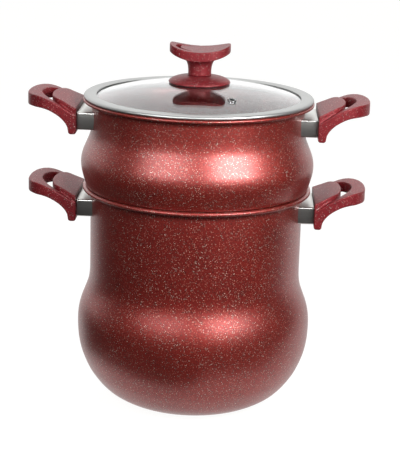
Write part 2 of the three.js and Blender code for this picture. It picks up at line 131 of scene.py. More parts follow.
def maths(tree, operation, first, second=None, third=None, clamp=False):
    node = addNode(tree, "ShaderNodeMath", operation=operation, use_clamp=clamp)
    for entry, value in enumerate((first, second, third)):
        if isinstance(value, tuple):
            join(tree, value[0], value[1], node, entry)
        elif value is not None:
            node.inputs[entry].default_value = value
    return node, 0


def blendColours(tree, mask, low, high):
    node = addNode(tree, "ShaderNodeMix", data_type="RGBA")
    join(tree, mask[0], mask[1], node, 0)
    for entry, colour in ((6, low), (7, high)):
        if isinstance(colour[0], bpy.types.Node):
            join(tree, colour[0], colour[1], node, entry)
        else:
            node.inputs[entry].default_value = (*colour, 1)
    return node, 2


# Shared surface effects

# Flecks: grains of uneven size and strength in a fired coating or a moulding.
# Cells is how many lie along a metre, Share how many of them show, Size their radius in cells.
fleckForm = {"smallest": 0.4, "edge": 9.0, "fading": 1.3}
fleckEntries = {"Cells": 700, "Share": 0.4, "Size": 0.4, "Bright": 1}
flecks, fleckIn, fleckOut = emptyGroup("flecks", fleckEntries, ["Fleck"])
where = addNode(flecks, "ShaderNodeTexCoord")
grains = addNode(flecks, "ShaderNodeTexVoronoi", {"Randomness": 1})
join(flecks, where, "Object", grains, "Vector")
join(flecks, fleckIn, "Cells", grains, "Scale")
chance = addNode(flecks, "ShaderNodeSeparateColor")
join(flecks, grains, "Color", chance, 0)
start = maths(flecks, "SUBTRACT", 1.0, (fleckIn, "Share"))
above = maths(flecks, "SUBTRACT", (chance, 0), start, clamp=True)
grown = maths(flecks, "DIVIDE", above, (fleckIn, "Share"))
uneven = maths(flecks, "MULTIPLY_ADD", grown, 1 - fleckForm["smallest"], fleckForm["smallest"])
reach = maths(flecks, "MULTIPLY", uneven, (fleckIn, "Size"))
inside = maths(flecks, "SUBTRACT", reach, (grains, "Distance"))
edge = maths(flecks, "MULTIPLY", inside, fleckForm["edge"], clamp=True)
faint = maths(flecks, "POWER", grown, fleckForm["fading"], clamp=True)
chosen = maths(flecks, "MULTIPLY", faint, (fleckIn, "Bright"), clamp=True)
mask = maths(flecks, "MULTIPLY", edge, chosen)
join(flecks, *mask, fleckOut, "Fleck")

# Drift: slow cloudy change over a surface, from 0 to 1.
drift, driftIn, driftOut = emptyGroup("drift", {"Scale": 12, "Contrast": 1}, ["Value"])
where = addNode(drift, "ShaderNodeTexCoord")
cloud = addNode(drift, "ShaderNodeTexNoise", {"Detail": 5, "Roughness": 0.6})
join(drift, where, "Object", cloud, "Vector")
join(drift, driftIn, "Scale", cloud, "Scale")
centred = maths(drift, "SUBTRACT", (cloud, 0), 0.5)
spread = maths(drift, "MULTIPLY_ADD", centred, (driftIn, "Contrast"), 0.5, clamp=True)
join(drift, *spread, driftOut, "Value")

# Grain: fine unevenness that lifts a surface by a hair.
grain, grainIn, grainOut = emptyGroup("grain", {"Scale": 900}, ["Height"])
where = addNode(grain, "ShaderNodeTexCoord")
fine = addNode(grain, "ShaderNodeTexNoise", {"Detail": 3, "Roughness": 0.7})
join(grain, where, "Object", fine, "Vector")
join(grain, grainIn, "Scale", fine, "Scale")
join(grain, fine, 0, grainOut, "Height")

# Brushing: long fine scratches, along X or, with Round at 1, round the Z axis.
drawnOut = 0.02  # the smaller, the longer the scratches
brushing, brushIn, brushOut = emptyGroup("brushing", {"Fineness": 3000, "Round": 0}, ["Streak"])
where = addNode(brushing, "ShaderNodeTexCoord")
apart = addNode(brushing, "ShaderNodeSeparateXYZ")
join(brushing, where, "Object", apart, 0)
flatOnly = addNode(brushing, "ShaderNodeCombineXYZ")
join(brushing, apart, 0, flatOnly, 0)
join(brushing, apart, 1, flatOnly, 1)
fromAxis = addNode(brushing, "ShaderNodeVectorMath", operation="LENGTH")
join(brushing, flatOnly, 0, fromAxis, 0)
roundTrip = addNode(brushing, "ShaderNodeMix", data_type="FLOAT")
join(brushing, brushIn, "Round", roundTrip, 0)
join(brushing, apart, 1, roundTrip, 2)
join(brushing, fromAxis, "Value", roundTrip, 3)
slow = maths(brushing, "MULTIPLY", (apart, 0), drawnOut)
lane = addNode(brushing, "ShaderNodeCombineXYZ")
join(brushing, *slow, lane, 0)
join(brushing, roundTrip, 0, lane, 1)
join(brushing, apart, 2, lane, 2)
scratches = addNode(brushing, "ShaderNodeTexNoise", {"Detail": 4, "Roughness": 0.65})
join(brushing, lane, 0, scratches, "Vector")
join(brushing, brushIn, "Fineness", scratches, "Scale")
join(brushing, scratches, 0, brushOut, "Streak")


# Materials

relief = {"coarse": 0.0002, "fine": 0.0001}  # depth of the bumps in metres


def bumped(tree, shader, height, strength, distance):
    bump = addNode(tree, "ShaderNodeBump", {"Strength": strength, "Distance": distance})
    join(tree, height[0], height[1], bump, "Height")
    join(tree, bump, 0, shader, "Normal")


def ranged(tree, source, low, high):
    node = addNode(tree, "ShaderNodeMapRange", {"To Min": low, "To Max": high})
    join(tree, source[0], source[1], node, 0)
    return node, 0


speckle = {
    "small": {"Size": 0.36, "Bright": 1.6},
    "large": {"Size": 0.35, "Bright": 1.1},
    "dark": {"Size": 0.6, "Bright": 3, "Share": 0.6},  # a dark rim round each large fleck
    "contrast": 1.6, "fleckMetal": 0.3, "fleckRise": 0.6,
}


def speckledFinish(name, look):
    material, tree, shader = newMaterial(name, look["shader"])
    cloudy = useGroup(tree, drift, {"Scale": look["cloudScale"], "Contrast": speckle["contrast"]})
    small = useGroup(tree, flecks, {
        "Cells": look["smallCells"], "Share": look["smallShare"], **speckle["small"],
    })
    large = useGroup(tree, flecks, {
        "Cells": look["largeCells"], "Share": look["largeShare"], **speckle["large"],
    })
    dark = useGroup(tree, flecks, {"Cells": look["largeCells"], **speckle["dark"]})
    ground = blendColours(tree, (cloudy, "Value"), look["deep"], look["lively"])
    shaded = maths(tree, "MULTIPLY", (dark, "Fleck"), look["darkStrength"])
    ground = blendColours(tree, shaded, ground, look["dark"])
    smallMask = maths(tree, "MULTIPLY", (small, "Fleck"), look["smallStrength"])
    speckled = blendColours(tree, smallMask, ground, look["smallFleck"])
    largeMask = maths(tree, "MULTIPLY", (large, "Fleck"), look["largeStrength"])
    finished = blendColours(tree, largeMask, speckled, look["largeFleck"])
    join(tree, *finished, shader, "Base Color")
    rough = ranged(tree, (cloudy, "Value"), *look["roughness"])
    join(tree, *rough, shader, "Roughness")
    join(tree, *ranged(tree, largeMask, look["metal"], speckle["fleckMetal"]), shader, "Metallic")
    skin = useGroup(tree, grain, {"Scale": look["grainScale"]})
    raised = maths(tree, "MULTIPLY_ADD", (large, "Fleck"), speckle["fleckRise"], (skin, "Height"))
    bumped(tree, shader, raised, look["bump"], relief["coarse"])
    return material


coatingLook = {
    "deep": (0.215, 0.0112, 0.007), "lively": (0.328, 0.0184, 0.0106), "dark": (0.02, 0.003, 0.003),
    "darkStrength": 0.9,
    "smallFleck": (0.95, 0.55, 0.42), "smallCells": 1100, "smallShare": 0.55, "smallStrength": 0.9,
    "largeFleck": (1, 0.8, 0.68), "largeCells": 840, "largeShare": 0.38, "largeStrength": 1.0,
    "cloudScale": 14, "grainScale": 1500, "bump": 0.2, "roughness": (0.43, 0.5), "metal": 0.73,
    "shader": {"Specular IOR Level": 0.1, "Coat Weight": 1.0, "Coat Roughness": 0.37, "Coat IOR": 1.58},
}
coating = speckledFinish("speckledCoating", coatingLook)

phenolicLook = {
    "deep": (0.145, 0.009, 0.013), "lively": (0.215, 0.013, 0.0185), "dark": (0.02, 0.003, 0.004),
    "darkStrength": 0.7,
    "smallFleck": (0.8, 0.4, 0.38), "smallCells": 1000, "smallShare": 0.45, "smallStrength": 0.8,
    "largeFleck": (1, 0.78, 0.72), "largeCells": 760, "largeShare": 0.28, "largeStrength": 0.75,
    "cloudScale": 25, "grainScale": 1300, "bump": 0.3, "roughness": (0.46, 0.54), "metal": 0.25,
    "shader": {"Specular IOR Level": 0.25, "Coat Weight": 0.22, "Coat Roughness": 0.34},
}
phenolic = speckledFinish("speckledPhenolic", phenolicLook)


def steelFinish(name, look):
    material, tree, shader = newMaterial(name, {"Metallic": 1.0, "Anisotropic": look["anisotropic"]})
    brushed = useGroup(tree, brushing, {"Fineness": look["fineness"], "Round": look["round"]})
    smudge = useGroup(tree, drift, {"Scale": look["smudgeScale"], "Contrast": look["contrast"]})
    colour = blendColours(tree, (brushed, "Streak"), look["shadow"], look["light"])
    join(tree, *colour, shader, "Base Color")
    streaky = ranged(tree, (brushed, "Streak"), *look["roughness"])
    rough = maths(tree, "MULTIPLY_ADD", (smudge, "Value"), look["smudge"], streaky)
    join(tree, *rough, shader, "Roughness")
    bumped(tree, shader, (brushed, "Streak"), look["bump"], relief["fine"])
    return material


guardSteel = steelFinish("brushedSheet", {
    "shadow": (0.48, 0.475, 0.45), "light": (0.77, 0.765, 0.74), "fineness": 2600, "round": 0,
    "anisotropic": 0.2, "roughness": (0.24, 0.34), "smudge": 0.06, "smudgeScale": 60, "contrast": 1.8,
    "bump": 0.15,
})
bandSteel = steelFinish("satinBand", {
    "shadow": (0.37, 0.375, 0.37), "light": (0.5, 0.505, 0.5), "fineness": 2200, "round": 1,
    "anisotropic": 0.2, "roughness": (0.36, 0.44), "smudge": 0.08, "smudgeScale": 30, "contrast": 1.8,
    "bump": 0.1,
})
fixingSteel = steelFinish("turnedSteel", {
    "shadow": (0.5, 0.5, 0.5), "light": (0.72, 0.72, 0.71), "fineness": 4000, "round": 0,
    "anisotropic": 0.0, "roughness": (0.2, 0.35), "smudge": 0.1, "smudgeScale": 90, "contrast": 1.8,
    "bump": 0.15,
})
ventSteel = steelFinish("darkenedSteel", {
    "shadow": (0.16, 0.16, 0.16), "light": (0.3, 0.3, 0.3), "fineness": 4000, "round": 0,
    "anisotropic": 0.0, "roughness": (0.14, 0.22), "smudge": 0.06, "smudgeScale": 90, "contrast": 1.8,
    "bump": 0.1,
})


def plainFinish(name, look):
    material, tree, shader = newMaterial(name, look["shader"])
    cloudy = useGroup(tree, drift, {"Scale": look["cloudScale"], "Contrast": look["contrast"]})
    colour = blendColours(tree, (cloudy, "Value"), look["deep"], look["lively"])
    join(tree, *colour, shader, "Base Color")
    join(tree, *ranged(tree, (cloudy, "Value"), *look["roughness"]), shader, "Roughness")
    skin = useGroup(tree, grain, {"Scale": look["grainScale"]})
    bumped(tree, shader, (skin, "Height"), look["bump"], relief["coarse"])
    return material


castAluminium = plainFinish("castAluminium", {
    "deep": (0.42, 0.43, 0.44), "lively": (0.6, 0.61, 0.62), "cloudScale": 120, "grainScale": 700,
    "roughness": (0.45, 0.62), "contrast": 1.5, "bump": 0.5, "shader": {"Metallic": 1.0},
})
insertBrass = plainFinish("turnedBrass", {
    "deep": (0.42, 0.28, 0.1), "lively": (0.6, 0.44, 0.18), "cloudScale": 150, "grainScale": 1200,
    "roughness": (0.25, 0.4), "contrast": 1.5, "bump": 0.2, "shader": {"Metallic": 1.0},
})
silicone = plainFinish("paleSilicone", {
    "deep": (0.6, 0.58, 0.55), "lively": (0.72, 0.7, 0.67), "cloudScale": 80, "grainScale": 500,
    "roughness": (0.5, 0.65), "contrast": 1.5, "bump": 0.25, "shader": {"Subsurface Weight": 0.15},
})

glassLook = {
    "breath": {"Scale": 22, "Contrast": 2.2}, "roughness": (0.0, 0.035),
    "shader": {
        "Base Color": (0.95, 0.94, 0.96, 1), "IOR": 1.62, "Transmission Weight": 1.0, "Metallic": 0.0,
    },
}
lidGlass, glassTree, glassShader = newMaterial("lidGlass", glassLook["shader"])
breath = useGroup(glassTree, drift, glassLook["breath"])
join(glassTree, *ranged(glassTree, (breath, "Value"), *glassLook["roughness"]), glassShader, "Roughness")
print("materials made:", len(bpy.data.materials))


# Small tools for pieces. Outlines are in millimetres, as radius and height or as two plain coordinates.

weld = 2e-6  # metres
creases = {"plain": 40, "turned": 50, "moulded": 70}  # edges above these angles stay sharp
wideCut = 60  # half the width of a cutter that has to reach right through


def flowing(knots, steps=6):
    points = [Vector((x, y, 0)) for x, y in knots]
    last = len(points) - 1
    ways = [(points[min(i + 1, last)] - points[max(i - 1, 0)]).normalized() for i in range(last + 1)]
    line = []
    for i in range(last):
        third = (points[i + 1] - points[i]).length / 3
        ends = points[i] + ways[i] * third, points[i + 1] - ways[i + 1] * third
        line += interpolate_bezier(points[i], *ends, points[i + 1], steps + 1)[:-1]
    return [(p.x, p.y) for p in line + points[-1:]]


def spun(outline, sides, closed=False, ease=0.0):
    form = bmesh.new()
    line = [form.verts.new((radius * mm, 0, height * mm)) for radius, height in outline]
    pairs = zip(line, line[1:] + line[:1]) if closed else zip(line, line[1:])
    edges = [form.edges.new(pair) for pair in pairs]
    bmesh.ops.spin(form, geom=line + edges, cent=(0, 0, 0), axis=(0, 0, 1), angle=2 * math.pi,
                   steps=sides, use_merge=True)
    bmesh.ops.remove_doubles(form, verts=form.verts, dist=weld)
    bmesh.ops.recalc_face_normals(form, faces=form.faces)
    if ease:
        sharpest = math.radians(creases["turned"])
        corners = [e for e in form.edges if e.is_manifold and e.calc_face_angle() > sharpest]
        bmesh.ops.bevel(form, geom=corners, offset=ease * mm, affect="EDGES", segments=3,
                        profile=0.5, material=-1, clamp_overlap=True)
    return form


def prism(outline, low, high, upright=False):
    form = bmesh.new()
    corners = [(x, low, z) if upright else (x, z, low) for x, z in outline]
    face = form.faces.new([form.verts.new(Vector(corner) * mm) for corner in corners])
    raised = bmesh.ops.extrude_face_region(form, geom=[face])["geom"]
    lift = Vector((0, high - low, 0)) if upright else Vector((0, 0, high - low))
    bmesh.ops.translate(form, verts=[v for v in raised if isinstance(v, bmesh.types.BMVert)], vec=lift * mm)
    bmesh.ops.recalc_face_normals(form, faces=form.faces)
    return form


def objectOf(name, form):
    mesh = bpy.data.meshes.new(name)
    form.to_mesh(mesh)
    form.free()
    piece = bpy.data.objects.new(name, mesh)
    scene.collection.objects.link(piece)
    return piece


def bake(piece):
    settled = piece.evaluated_get(bpy.context.evaluated_depsgraph_get())
    mesh = bpy.data.meshes.new_from_object(settled)
    piece.modifiers.clear()
    old, piece.data = piece.data, mesh
    bpy.data.meshes.remove(old)


def cutWith(piece, form, operation="DIFFERENCE"):
    tool = objectOf("tool", form)
    step = piece.modifiers.new("cut", "BOOLEAN")
    step.object = tool
    step.operation = operation
    step.solver = "EXACT"
    bake(piece)
    bpy.data.objects.remove(tool)


def soften(piece, voxel, rounds):
    skin = piece.modifiers.new("skin", "REMESH")
    skin.mode = "VOXEL"
    skin.voxel_size = voxel * mm
    ease = piece.modifiers.new("ease", "SMOOTH")
    ease.factor = 0.5
    ease.iterations = rounds
    bake(piece)


def finishPiece(piece, body, material, node, crease="plain"):
    piece.data.materials.clear()
    piece.data.materials.append(material)
    piece.data.polygons.foreach_set("use_smooth", [True] * len(piece.data.polygons))
    piece.data.set_sharp_from_angle(angle=math.radians(creases[crease]))
    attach(piece, body)
    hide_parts(node)
    return piece


def mirrored(line):
    return [(x, -y) for x, y in reversed(line)][:-1] + line


# Pot: outside from the base up, then the rolled rim, then the inside down to the floor

pot = {
    "base": [(0, 0), (70, 0)],
    "side": [
        (73, 0.4), (84, 3.6), (96.4, 10.8), (104.3, 18), (110.7, 26), (116.6, 35), (121.2, 45),
        (124.8, 55), (127.2, 66), (128.3, 77), (128.5, 87), (128.1, 95), (126.8, 102.8), (124.6, 110.4),
        (121.7, 118), (118.8, 125.6), (116.7, 133.2), (115.7, 141), (115.4, 149), (115.4, 190),
        (115.4, 228), (115.6, 232.6), (116.6, 234.9), (118.8, 235.8), (121.6, 235.8), (123.4, 236.2),
        (124, 237.6), (123.4, 239.2), (121.7, 239.9),
    ],
    "inside": [
        (119.3, 239.9), (117.6, 239.1), (115.2, 237.6), (113.5, 235), (112.6, 231), (112.4, 195),
        (112.4, 149), (112.8, 141), (113.8, 134), (115.9, 126.4), (118.9, 118.8), (121.8, 111),
        (123.9, 103), (125.1, 95), (125.5, 87), (125.3, 77), (124.2, 66.6), (121.8, 56),
        (118.3, 46.2), (113.9, 36.6), (108.2, 28), (101.8, 20), (94.6, 13.8), (86, 9.4), (76, 6.8),
        (66, 6),
    ],
    "floor": [(0, 6)],
    "sides": 160,
}
potShell = objectOf("potShell", spun(
    pot["base"] + flowing(pot["side"], 4) + flowing(pot["inside"], 4) + pot["floor"], pot["sides"],
))
finishPiece(potShell, "pot", coating, "pot_body")
print("pot shell:", len(potShell.data.polygons), "faces")


# Steamer: the perforated foot, the seat on the pot's rim, the belly and its own rolled rim

steamer = {
    "foot": [(0, 216.2), (107.6, 216.2), (108.5, 217), (110.7, 238.8), (111.6, 240.2), (118.8, 240.2)],
    "side": [
        (120.4, 240.9), (122.1, 246), (123.8, 251.8), (125.2, 257.6), (125.9, 263.4), (125.7, 269.2),
        (124.5, 275), (122.4, 280.8), (119.9, 286.6), (117.5, 292.4), (115.7, 298.2), (114.8, 304),
        (114.4, 310), (114.4, 322), (114.6, 327.6), (115.6, 330.2),
        (118, 331.2), (121.4, 331.2), (123.4, 331.7), (124, 333), (123.5, 334.2), (122.3, 334.7),
    ],
    "inside": [
        (119.3, 334.7), (117.8, 334.2), (115.9, 333.2), (114.6, 331), (113.3, 328.4), (111.8, 323),
        (111.4, 313.6), (111.7, 305.4), (112.5, 299.4), (114.3, 293.6), (116.7, 287.8), (119.3, 281.8),
        (121.4, 275.8), (122.6, 269.6), (122.9, 263.4), (122.2, 257.8), (120.8, 252.2), (118.8, 247),
        (115.6, 243.4),
    ],
    "well": [(108.6, 243.2), (107.8, 242.2), (105.5, 220.4), (104.2, 219.2), (0, 219.2)],
    "sides": 160,
    "holeRadius": 2, "holeSides": 20, "rings": 4, "spacing": 23.35, "holeMiddle": 217.7, "drill": 8,
}
steamerShell = objectOf("steamerShell", spun(
    steamer["foot"] + flowing(steamer["side"], 4) + flowing(steamer["inside"], 4) + steamer["well"],
    steamer["sides"],
))
drills = bmesh.new()
for ringNumber in range(steamer["rings"] + 1):
    count = max(1, 6 * ringNumber)
    for i in range(count):
        spot = Matrix.Rotation(2 * math.pi * i / count, 4, "Z") @ Matrix.Translation(
            (ringNumber * steamer["spacing"] * mm, 0, steamer["holeMiddle"] * mm))
        bmesh.ops.create_cone(drills, cap_ends=True, segments=steamer["holeSides"],
                              radius1=steamer["holeRadius"] * mm, radius2=steamer["holeRadius"] * mm,
                              depth=steamer["drill"] * mm, matrix=spot)
cutWith(steamerShell, drills)
finishPiece(steamerShell, "steamer", coating, "steamer_body")
print("steamer shell:", len(steamerShell.data.polygons), "faces")


# Grips: a plate that runs out of the guard, ringed by a wider loop with a crescent gap between.
# X runs outwards from the vessel's axis, Z up from the middle of the guard.

gripShape = {
    "loopPlan": [(183, 0), (182, 14.6), (179.1, 24.7), (174.3, 32.6), (167.7, 38.3), (159.2, 41.8),
                 (147, 43), (137, 42.4), (127.6, 41)],
    "tonguePlan": [(157, 0), (156.6, 8.8), (155.4, 17), (152.8, 26), (149.2, 31.9), (145.2, 34.6),
                   (137, 37.6), (127.6, 41)],
    "crescentPlan": [(168.4, 0), (167.7, 8.2), (165.6, 15.8), (161.8, 24), (156, 30.6), (149.4, 34.4),
                     (142.4, 36.6), (136, 37.4)],
    "loopTop": [(183, 26.7), (175.2, 27.2), (166.9, 26.5), (158.1, 23.9), (149.8, 20.3), (143.1, 16.4),
                (135.9, 11.8), (127.6, 6.4)],
    "loopFoot": [(127.6, -11.4), (129.1, -12.9), (134, -12.9), (135.6, -11.4)],
    "loopUnder": [(136, -9.1), (137, -4.4), (142, 2.8), (149.8, 8.7), (158.1, 12.6), (166.9, 14.2),
                  (183, 14.4)],
    "tongueTop": [(157, 24.9), (152.6, 24.5), (145.2, 22.8), (136.4, 18.7), (127.6, 14.6)],
    "tongueUnder": [(127.6, 0), (157, 16.2)],
    "loopBlock": (-25, 45), "tongueBlock": (-20, 40), "gapBlock": (-30, 60), "gapCutter": (-40, 70),
    "screwHole": 2.5, "holeStart": 120, "pocket": 5.9, "seat": 135, "pocketEnd": 153.5,
    "voxel": 0.6, "rounds": 7,
}


def rodAlongX(radius, start, end, sides=24):
    form = bmesh.new()
    place = Matrix.Translation(((start + end) / 2 * mm, 0, 0)) @ Matrix.Rotation(math.pi / 2, 4, "Y")
    bmesh.ops.create_cone(form, cap_ends=True, segments=sides, radius1=radius * mm, radius2=radius * mm,
                          depth=(end - start) * mm, matrix=place)
    return form


def newGrip(shape):
    loopPlan = mirrored(flowing(shape["loopPlan"]))
    tonguePlan = mirrored(flowing(shape["tonguePlan"]))
    crescentPlan = mirrored(flowing(shape["crescentPlan"]))
    side = shape["loopFoot"] + flowing(shape["loopUnder"]) + flowing(shape["loopTop"])
    grip = objectOf("gripForm", prism(loopPlan, *shape["loopBlock"]))
    cutWith(grip, prism(side, -wideCut, wideCut, upright=True), "INTERSECT")
    tongue = objectOf("tongueForm", prism(tonguePlan, *shape["tongueBlock"]))
    tongueSide = shape["tongueUnder"] + flowing(shape["tongueTop"])
    cutWith(tongue, prism(tongueSide, -wideCut, wideCut, upright=True), "INTERSECT")
    gap = objectOf("gapForm", prism(crescentPlan, *shape["gapBlock"]))
    cutWith(gap, prism(tonguePlan, *shape["gapCutter"]))
    hollow = bmesh.new()
    hollow.from_mesh(gap.data)
    panel = bmesh.new()
    panel.from_mesh(tongue.data)
    cutWith(grip, panel, "UNION")
    cutWith(grip, hollow)
    cutWith(grip, rodAlongX(shape["screwHole"], shape["holeStart"], shape["seat"] + 1))
    cutWith(grip, rodAlongX(shape["pocket"], shape["seat"], shape["pocketEnd"]))
    soften(grip, shape["voxel"], shape["rounds"])
    bpy.data.objects.remove(gap)
    bpy.data.objects.remove(tongue)
    return grip


# Flame guards: short sleeves of brushed sheet between the vessel and each grip

guardShape = {
    "width": 66, "height": 18.9, "inner": 90, "outer": 127.2, "sheet": 1, "corner": 1.8,
    "sink": 0.6, "coreHeight": 40, "coreSides": 160,
}


def newGuard(shape, neck):
    form = bmesh.new()
    halfWidth, halfHeight = shape["width"] / 2, shape["height"] / 2
    corners = [(y * halfWidth, z * halfHeight) for y, z in ((-1, -1), (1, -1), (1, 1), (-1, 1))]
    form.faces.new([form.verts.new(Vector((shape["inner"], y, z)) * mm) for y, z in corners])
    bmesh.ops.bevel(form, geom=form.verts[:], offset=shape["corner"] * mm, affect="VERTICES", segments=5,
                    profile=0.5, material=-1)
    start = form.faces[:]
    raised = bmesh.ops.extrude_face_region(form, geom=start)["geom"]
    bmesh.ops.translate(form, verts=[v for v in raised if isinstance(v, bmesh.types.BMVert)],
                        vec=((shape["outer"] - shape["inner"]) * mm, 0, 0))
    ends = [f for f in form.faces if len(f.verts) > 4]
    bmesh.ops.delete(form, geom=ends, context="FACES_ONLY")
    bmesh.ops.recalc_face_normals(form, faces=form.faces)
    guard = objectOf("guardForm", form)
    wall = guard.modifiers.new("wall", "SOLIDIFY")
    wall.thickness = shape["sheet"] * mm
    wall.offset = -1
    bake(guard)
    vessel, top = neck - shape["sink"], shape["coreHeight"]
    cutWith(guard, spun([(0, -top), (vessel, -top), (vessel, top), (0, top)], shape["coreSides"]))
    return guard


def placedCopy(source, name, turn, height):
    mesh = source.data.copy()
    mesh.transform(Matrix.Translation((0, 0, height * mm)) @ Matrix.Rotation(turn, 4, "Z"))
    piece = bpy.data.objects.new(name, mesh)
    scene.collection.objects.link(piece)
    return piece


gripForm = newGrip(gripShape)
print("grip:", len(gripForm.data.polygons), "faces")
handles = {
    "pot": {"height": 217.3, "neck": 115.4},
    "steamer": {"height": 312.1, "neck": 114.4},
}
for body, place in handles.items():
    guardForm = newGuard(guardShape, place["neck"])
    for side, turn in (("left", math.pi), ("right", 0)):
        label = body + "_" + side
        grip = placedCopy(gripForm, body + side.title() + "Grip", turn, place["height"])
        finishPiece(grip, body, phenolic, label + "_grip", "moulded")
        guard = placedCopy(guardForm, body + side.title() + "Guard", turn, place["height"])
        finishPiece(guard, body, guardSteel, label + "_flame_guard")
        for part, material in (("lug", castAluminium), ("washer", fixingSteel), ("screw", fixingSteel)):
            mesh = nodes[label + "_" + part].data
            mesh.materials.clear()
            mesh.materials.append(material)
    bpy.data.objects.remove(guardForm)
bpy.data.objects.remove(gripForm)
print("handles placed")


# Lid: domed glass held in the channel of a rolled steel band

lid = {
    "glassUnder": [(2.5, 349), (30, 347.9), (56, 344.9), (80, 340.7), (100, 335.9), (111.4, 332.7)],
    "glassEdge": [(112, 333.2), (112, 336.1)],
    "glassOver": [(111.5, 336.7), (100, 339.9), (80, 344.7), (56, 348.9), (30, 351.9), (2.5, 353)],
    "band": [(109.6, 331.4), (113.2, 331.4), (113.2, 335)],
    "bandCrown": [(122.2, 335), (123.2, 335.6), (123.4, 336.6), (122.9, 337.9), (121.4, 338.9),
                  (119, 339.35), (116.4, 339.35), (113, 339.2), (110.3, 338.9)],
    "bandLip": [(109.6, 338.4), (109.6, 337.6), (112.3, 337.6), (112.3, 332.3), (109.6, 332.3)],
    "sides": 192,
}
glassOutline = flowing(lid["glassUnder"], 8) + lid["glassEdge"] + flowing(lid["glassOver"], 8)
glassPiece = objectOf("lidDome", spun(glassOutline, lid["sides"], closed=True))
bandOutline = lid["band"] + flowing(lid["bandCrown"], 4) + lid["bandLip"]
bandPiece = objectOf("rolledBand", spun(bandOutline, lid["sides"], closed=True))

# The vent: a small eyelet through the glass, near the front on the right
vent = {
    "reach": 76, "turn": -61.5, "height": 345.5, "domeRadius": 390.4,
    "hole": 3.2, "holeSides": 32, "holeDepth": 14, "holeDrop": 2, "sides": 48, "ease": 0.12,
    "eyelet": [(2, -5.1), (4.6, -5.1), (4.8, -4.3), (2.9, -4.3), (2.9, 0.2), (4.8, 0.2), (4.75, 0.6),
               (4.3, 1.1), (3.6, 1.35), (2.8, 1.2), (2.2, 0.6)],
}
ventPlace = (
    Matrix.Rotation(math.radians(vent["turn"]), 4, "Z")
    @ Matrix.Translation((vent["reach"] * mm, 0, vent["height"] * mm))
    @ Matrix.Rotation(math.asin(vent["reach"] / vent["domeRadius"]), 4, "Y")
)
ventHole = bmesh.new()
bmesh.ops.create_cone(ventHole, cap_ends=True, segments=vent["holeSides"], radius1=vent["hole"] * mm,
                      radius2=vent["hole"] * mm, depth=vent["holeDepth"] * mm,
                      matrix=ventPlace @ Matrix.Translation((0, 0, -vent["holeDrop"] * mm)))
cutWith(glassPiece, ventHole)
finishPiece(glassPiece, "lid", lidGlass, "lid_glass")
finishPiece(bandPiece, "lid", bandSteel, "lid_band", "turned")
eyeletForm = spun(vent["eyelet"], vent["sides"], closed=True, ease=vent["ease"])
bmesh.ops.transform(eyeletForm, matrix=ventPlace, verts=eyeletForm.verts)
eyeletPiece = objectOf("ventEyelet", eyeletForm)
finishPiece(eyeletPiece, "lid", ventSteel, "vent_eyelet")
print("lid made")


# Knob: a domed foot on a soft ring, a stem, and a saddle with a crescent groove

knob = {
    "gasket": [(2.5, 353.3), (13.4, 353.3), (14, 353.6), (14, 354), (13.4, 354.3), (2.5, 354.3)],
    "foot": [(2.3, 354.6), (13.9, 354.6), (30, 352.3), (31.4, 351.95)],
    "footTop": [(32.2, 352), (33, 352.8), (32.7, 354.1), (30.2, 356.2), (25.7, 358.1), (20, 359.3),
                (14, 360.1)],
    "footEnd": [(2.3, 360.1)],
    "saddlePlan": [(32.5, 0), (31.9, 8.9), (29.5, 15.6), (25, 20.9), (18.4, 24.7), (9.6, 26.9), (0, 27.5)],
    "innerPlan": [(23.5, 0), (23, 6), (21.2, 10.6), (17.9, 14), (13.1, 16.8), (6.9, 18.2), (0, 18.5)],
    "under": [(-32.5, 385.9), (-24, 382.2), (-12, 378.9), (0, 377.8)],
    "over": [(-32.5, 394.1), (-24, 391.2), (-12, 388.7), (0, 387.8)],
    "block": (370, 400), "groove": 5, "grooveDepth": 3.6, "grooveBlock": (370, 402),
    "innerBlock": (360, 410), "below": 20,
    "stem": [(12.4, 360.4), (12.4, 366), (12.9, 370.2), (14, 373.8), (15.9, 376.8), (18.6, 379.5),
             (22, 381.5)],
    "bore": 4.7, "boreFoot": 350, "boreTop": 375, "voxel": 0.45, "rounds": 7,
    "footSides": 128, "stemSides": 64, "boreSides": 32, "ringSides": 96,
}


def fullOval(half):
    quarter = flowing(half)
    across = quarter + [(-x, y) for x, y in reversed(quarter)][1:]
    return across + [(x, -y) for x, y in reversed(across)][1:-1]


def fullWidth(half):
    line = flowing(half)
    return line + [(-x, z) for x, z in reversed(line)][1:]


def shifted(line, x, z):
    return [(a + x, b + z) for a, b in line]


def newKnobHead(shape):
    under, over = fullWidth(shape["under"]), fullWidth(shape["over"])
    head = objectOf("saddle", prism(fullOval(shape["saddlePlan"]), *shape["block"]))
    cutWith(head, prism(under + over[::-1], -wideCut, wideCut, upright=True), "INTERSECT")
    inner = fullOval(shape["innerPlan"])
    groove = objectOf("groove", prism(shifted(inner, -shape["groove"] / 2, 0), *shape["grooveBlock"]))
    cutWith(groove, prism(shifted(inner, shape["groove"] / 2, 0), *shape["innerBlock"]))
    rest = shifted(under, 0, -shape["below"]) + shifted(over, 0, -shape["grooveDepth"])[::-1]
    cutWith(groove, prism(rest, -wideCut, wideCut, upright=True))
    channel = bmesh.new()
    channel.from_mesh(groove.data)
    cutWith(head, channel)
    stem = [(0, shape["stem"][0][1])] + flowing(shape["stem"]) + [(0, shape["stem"][-1][1])]
    cutWith(head, spun(stem, shape["stemSides"]), "UNION")
    foot, top = shape["boreFoot"], shape["boreTop"]
    bore = [(0, foot), (shape["bore"], foot), (shape["bore"], top), (0, top)]
    cutWith(head, spun(bore, shape["boreSides"]))
    soften(head, shape["voxel"], shape["rounds"])
    bpy.data.objects.remove(groove)
    return head


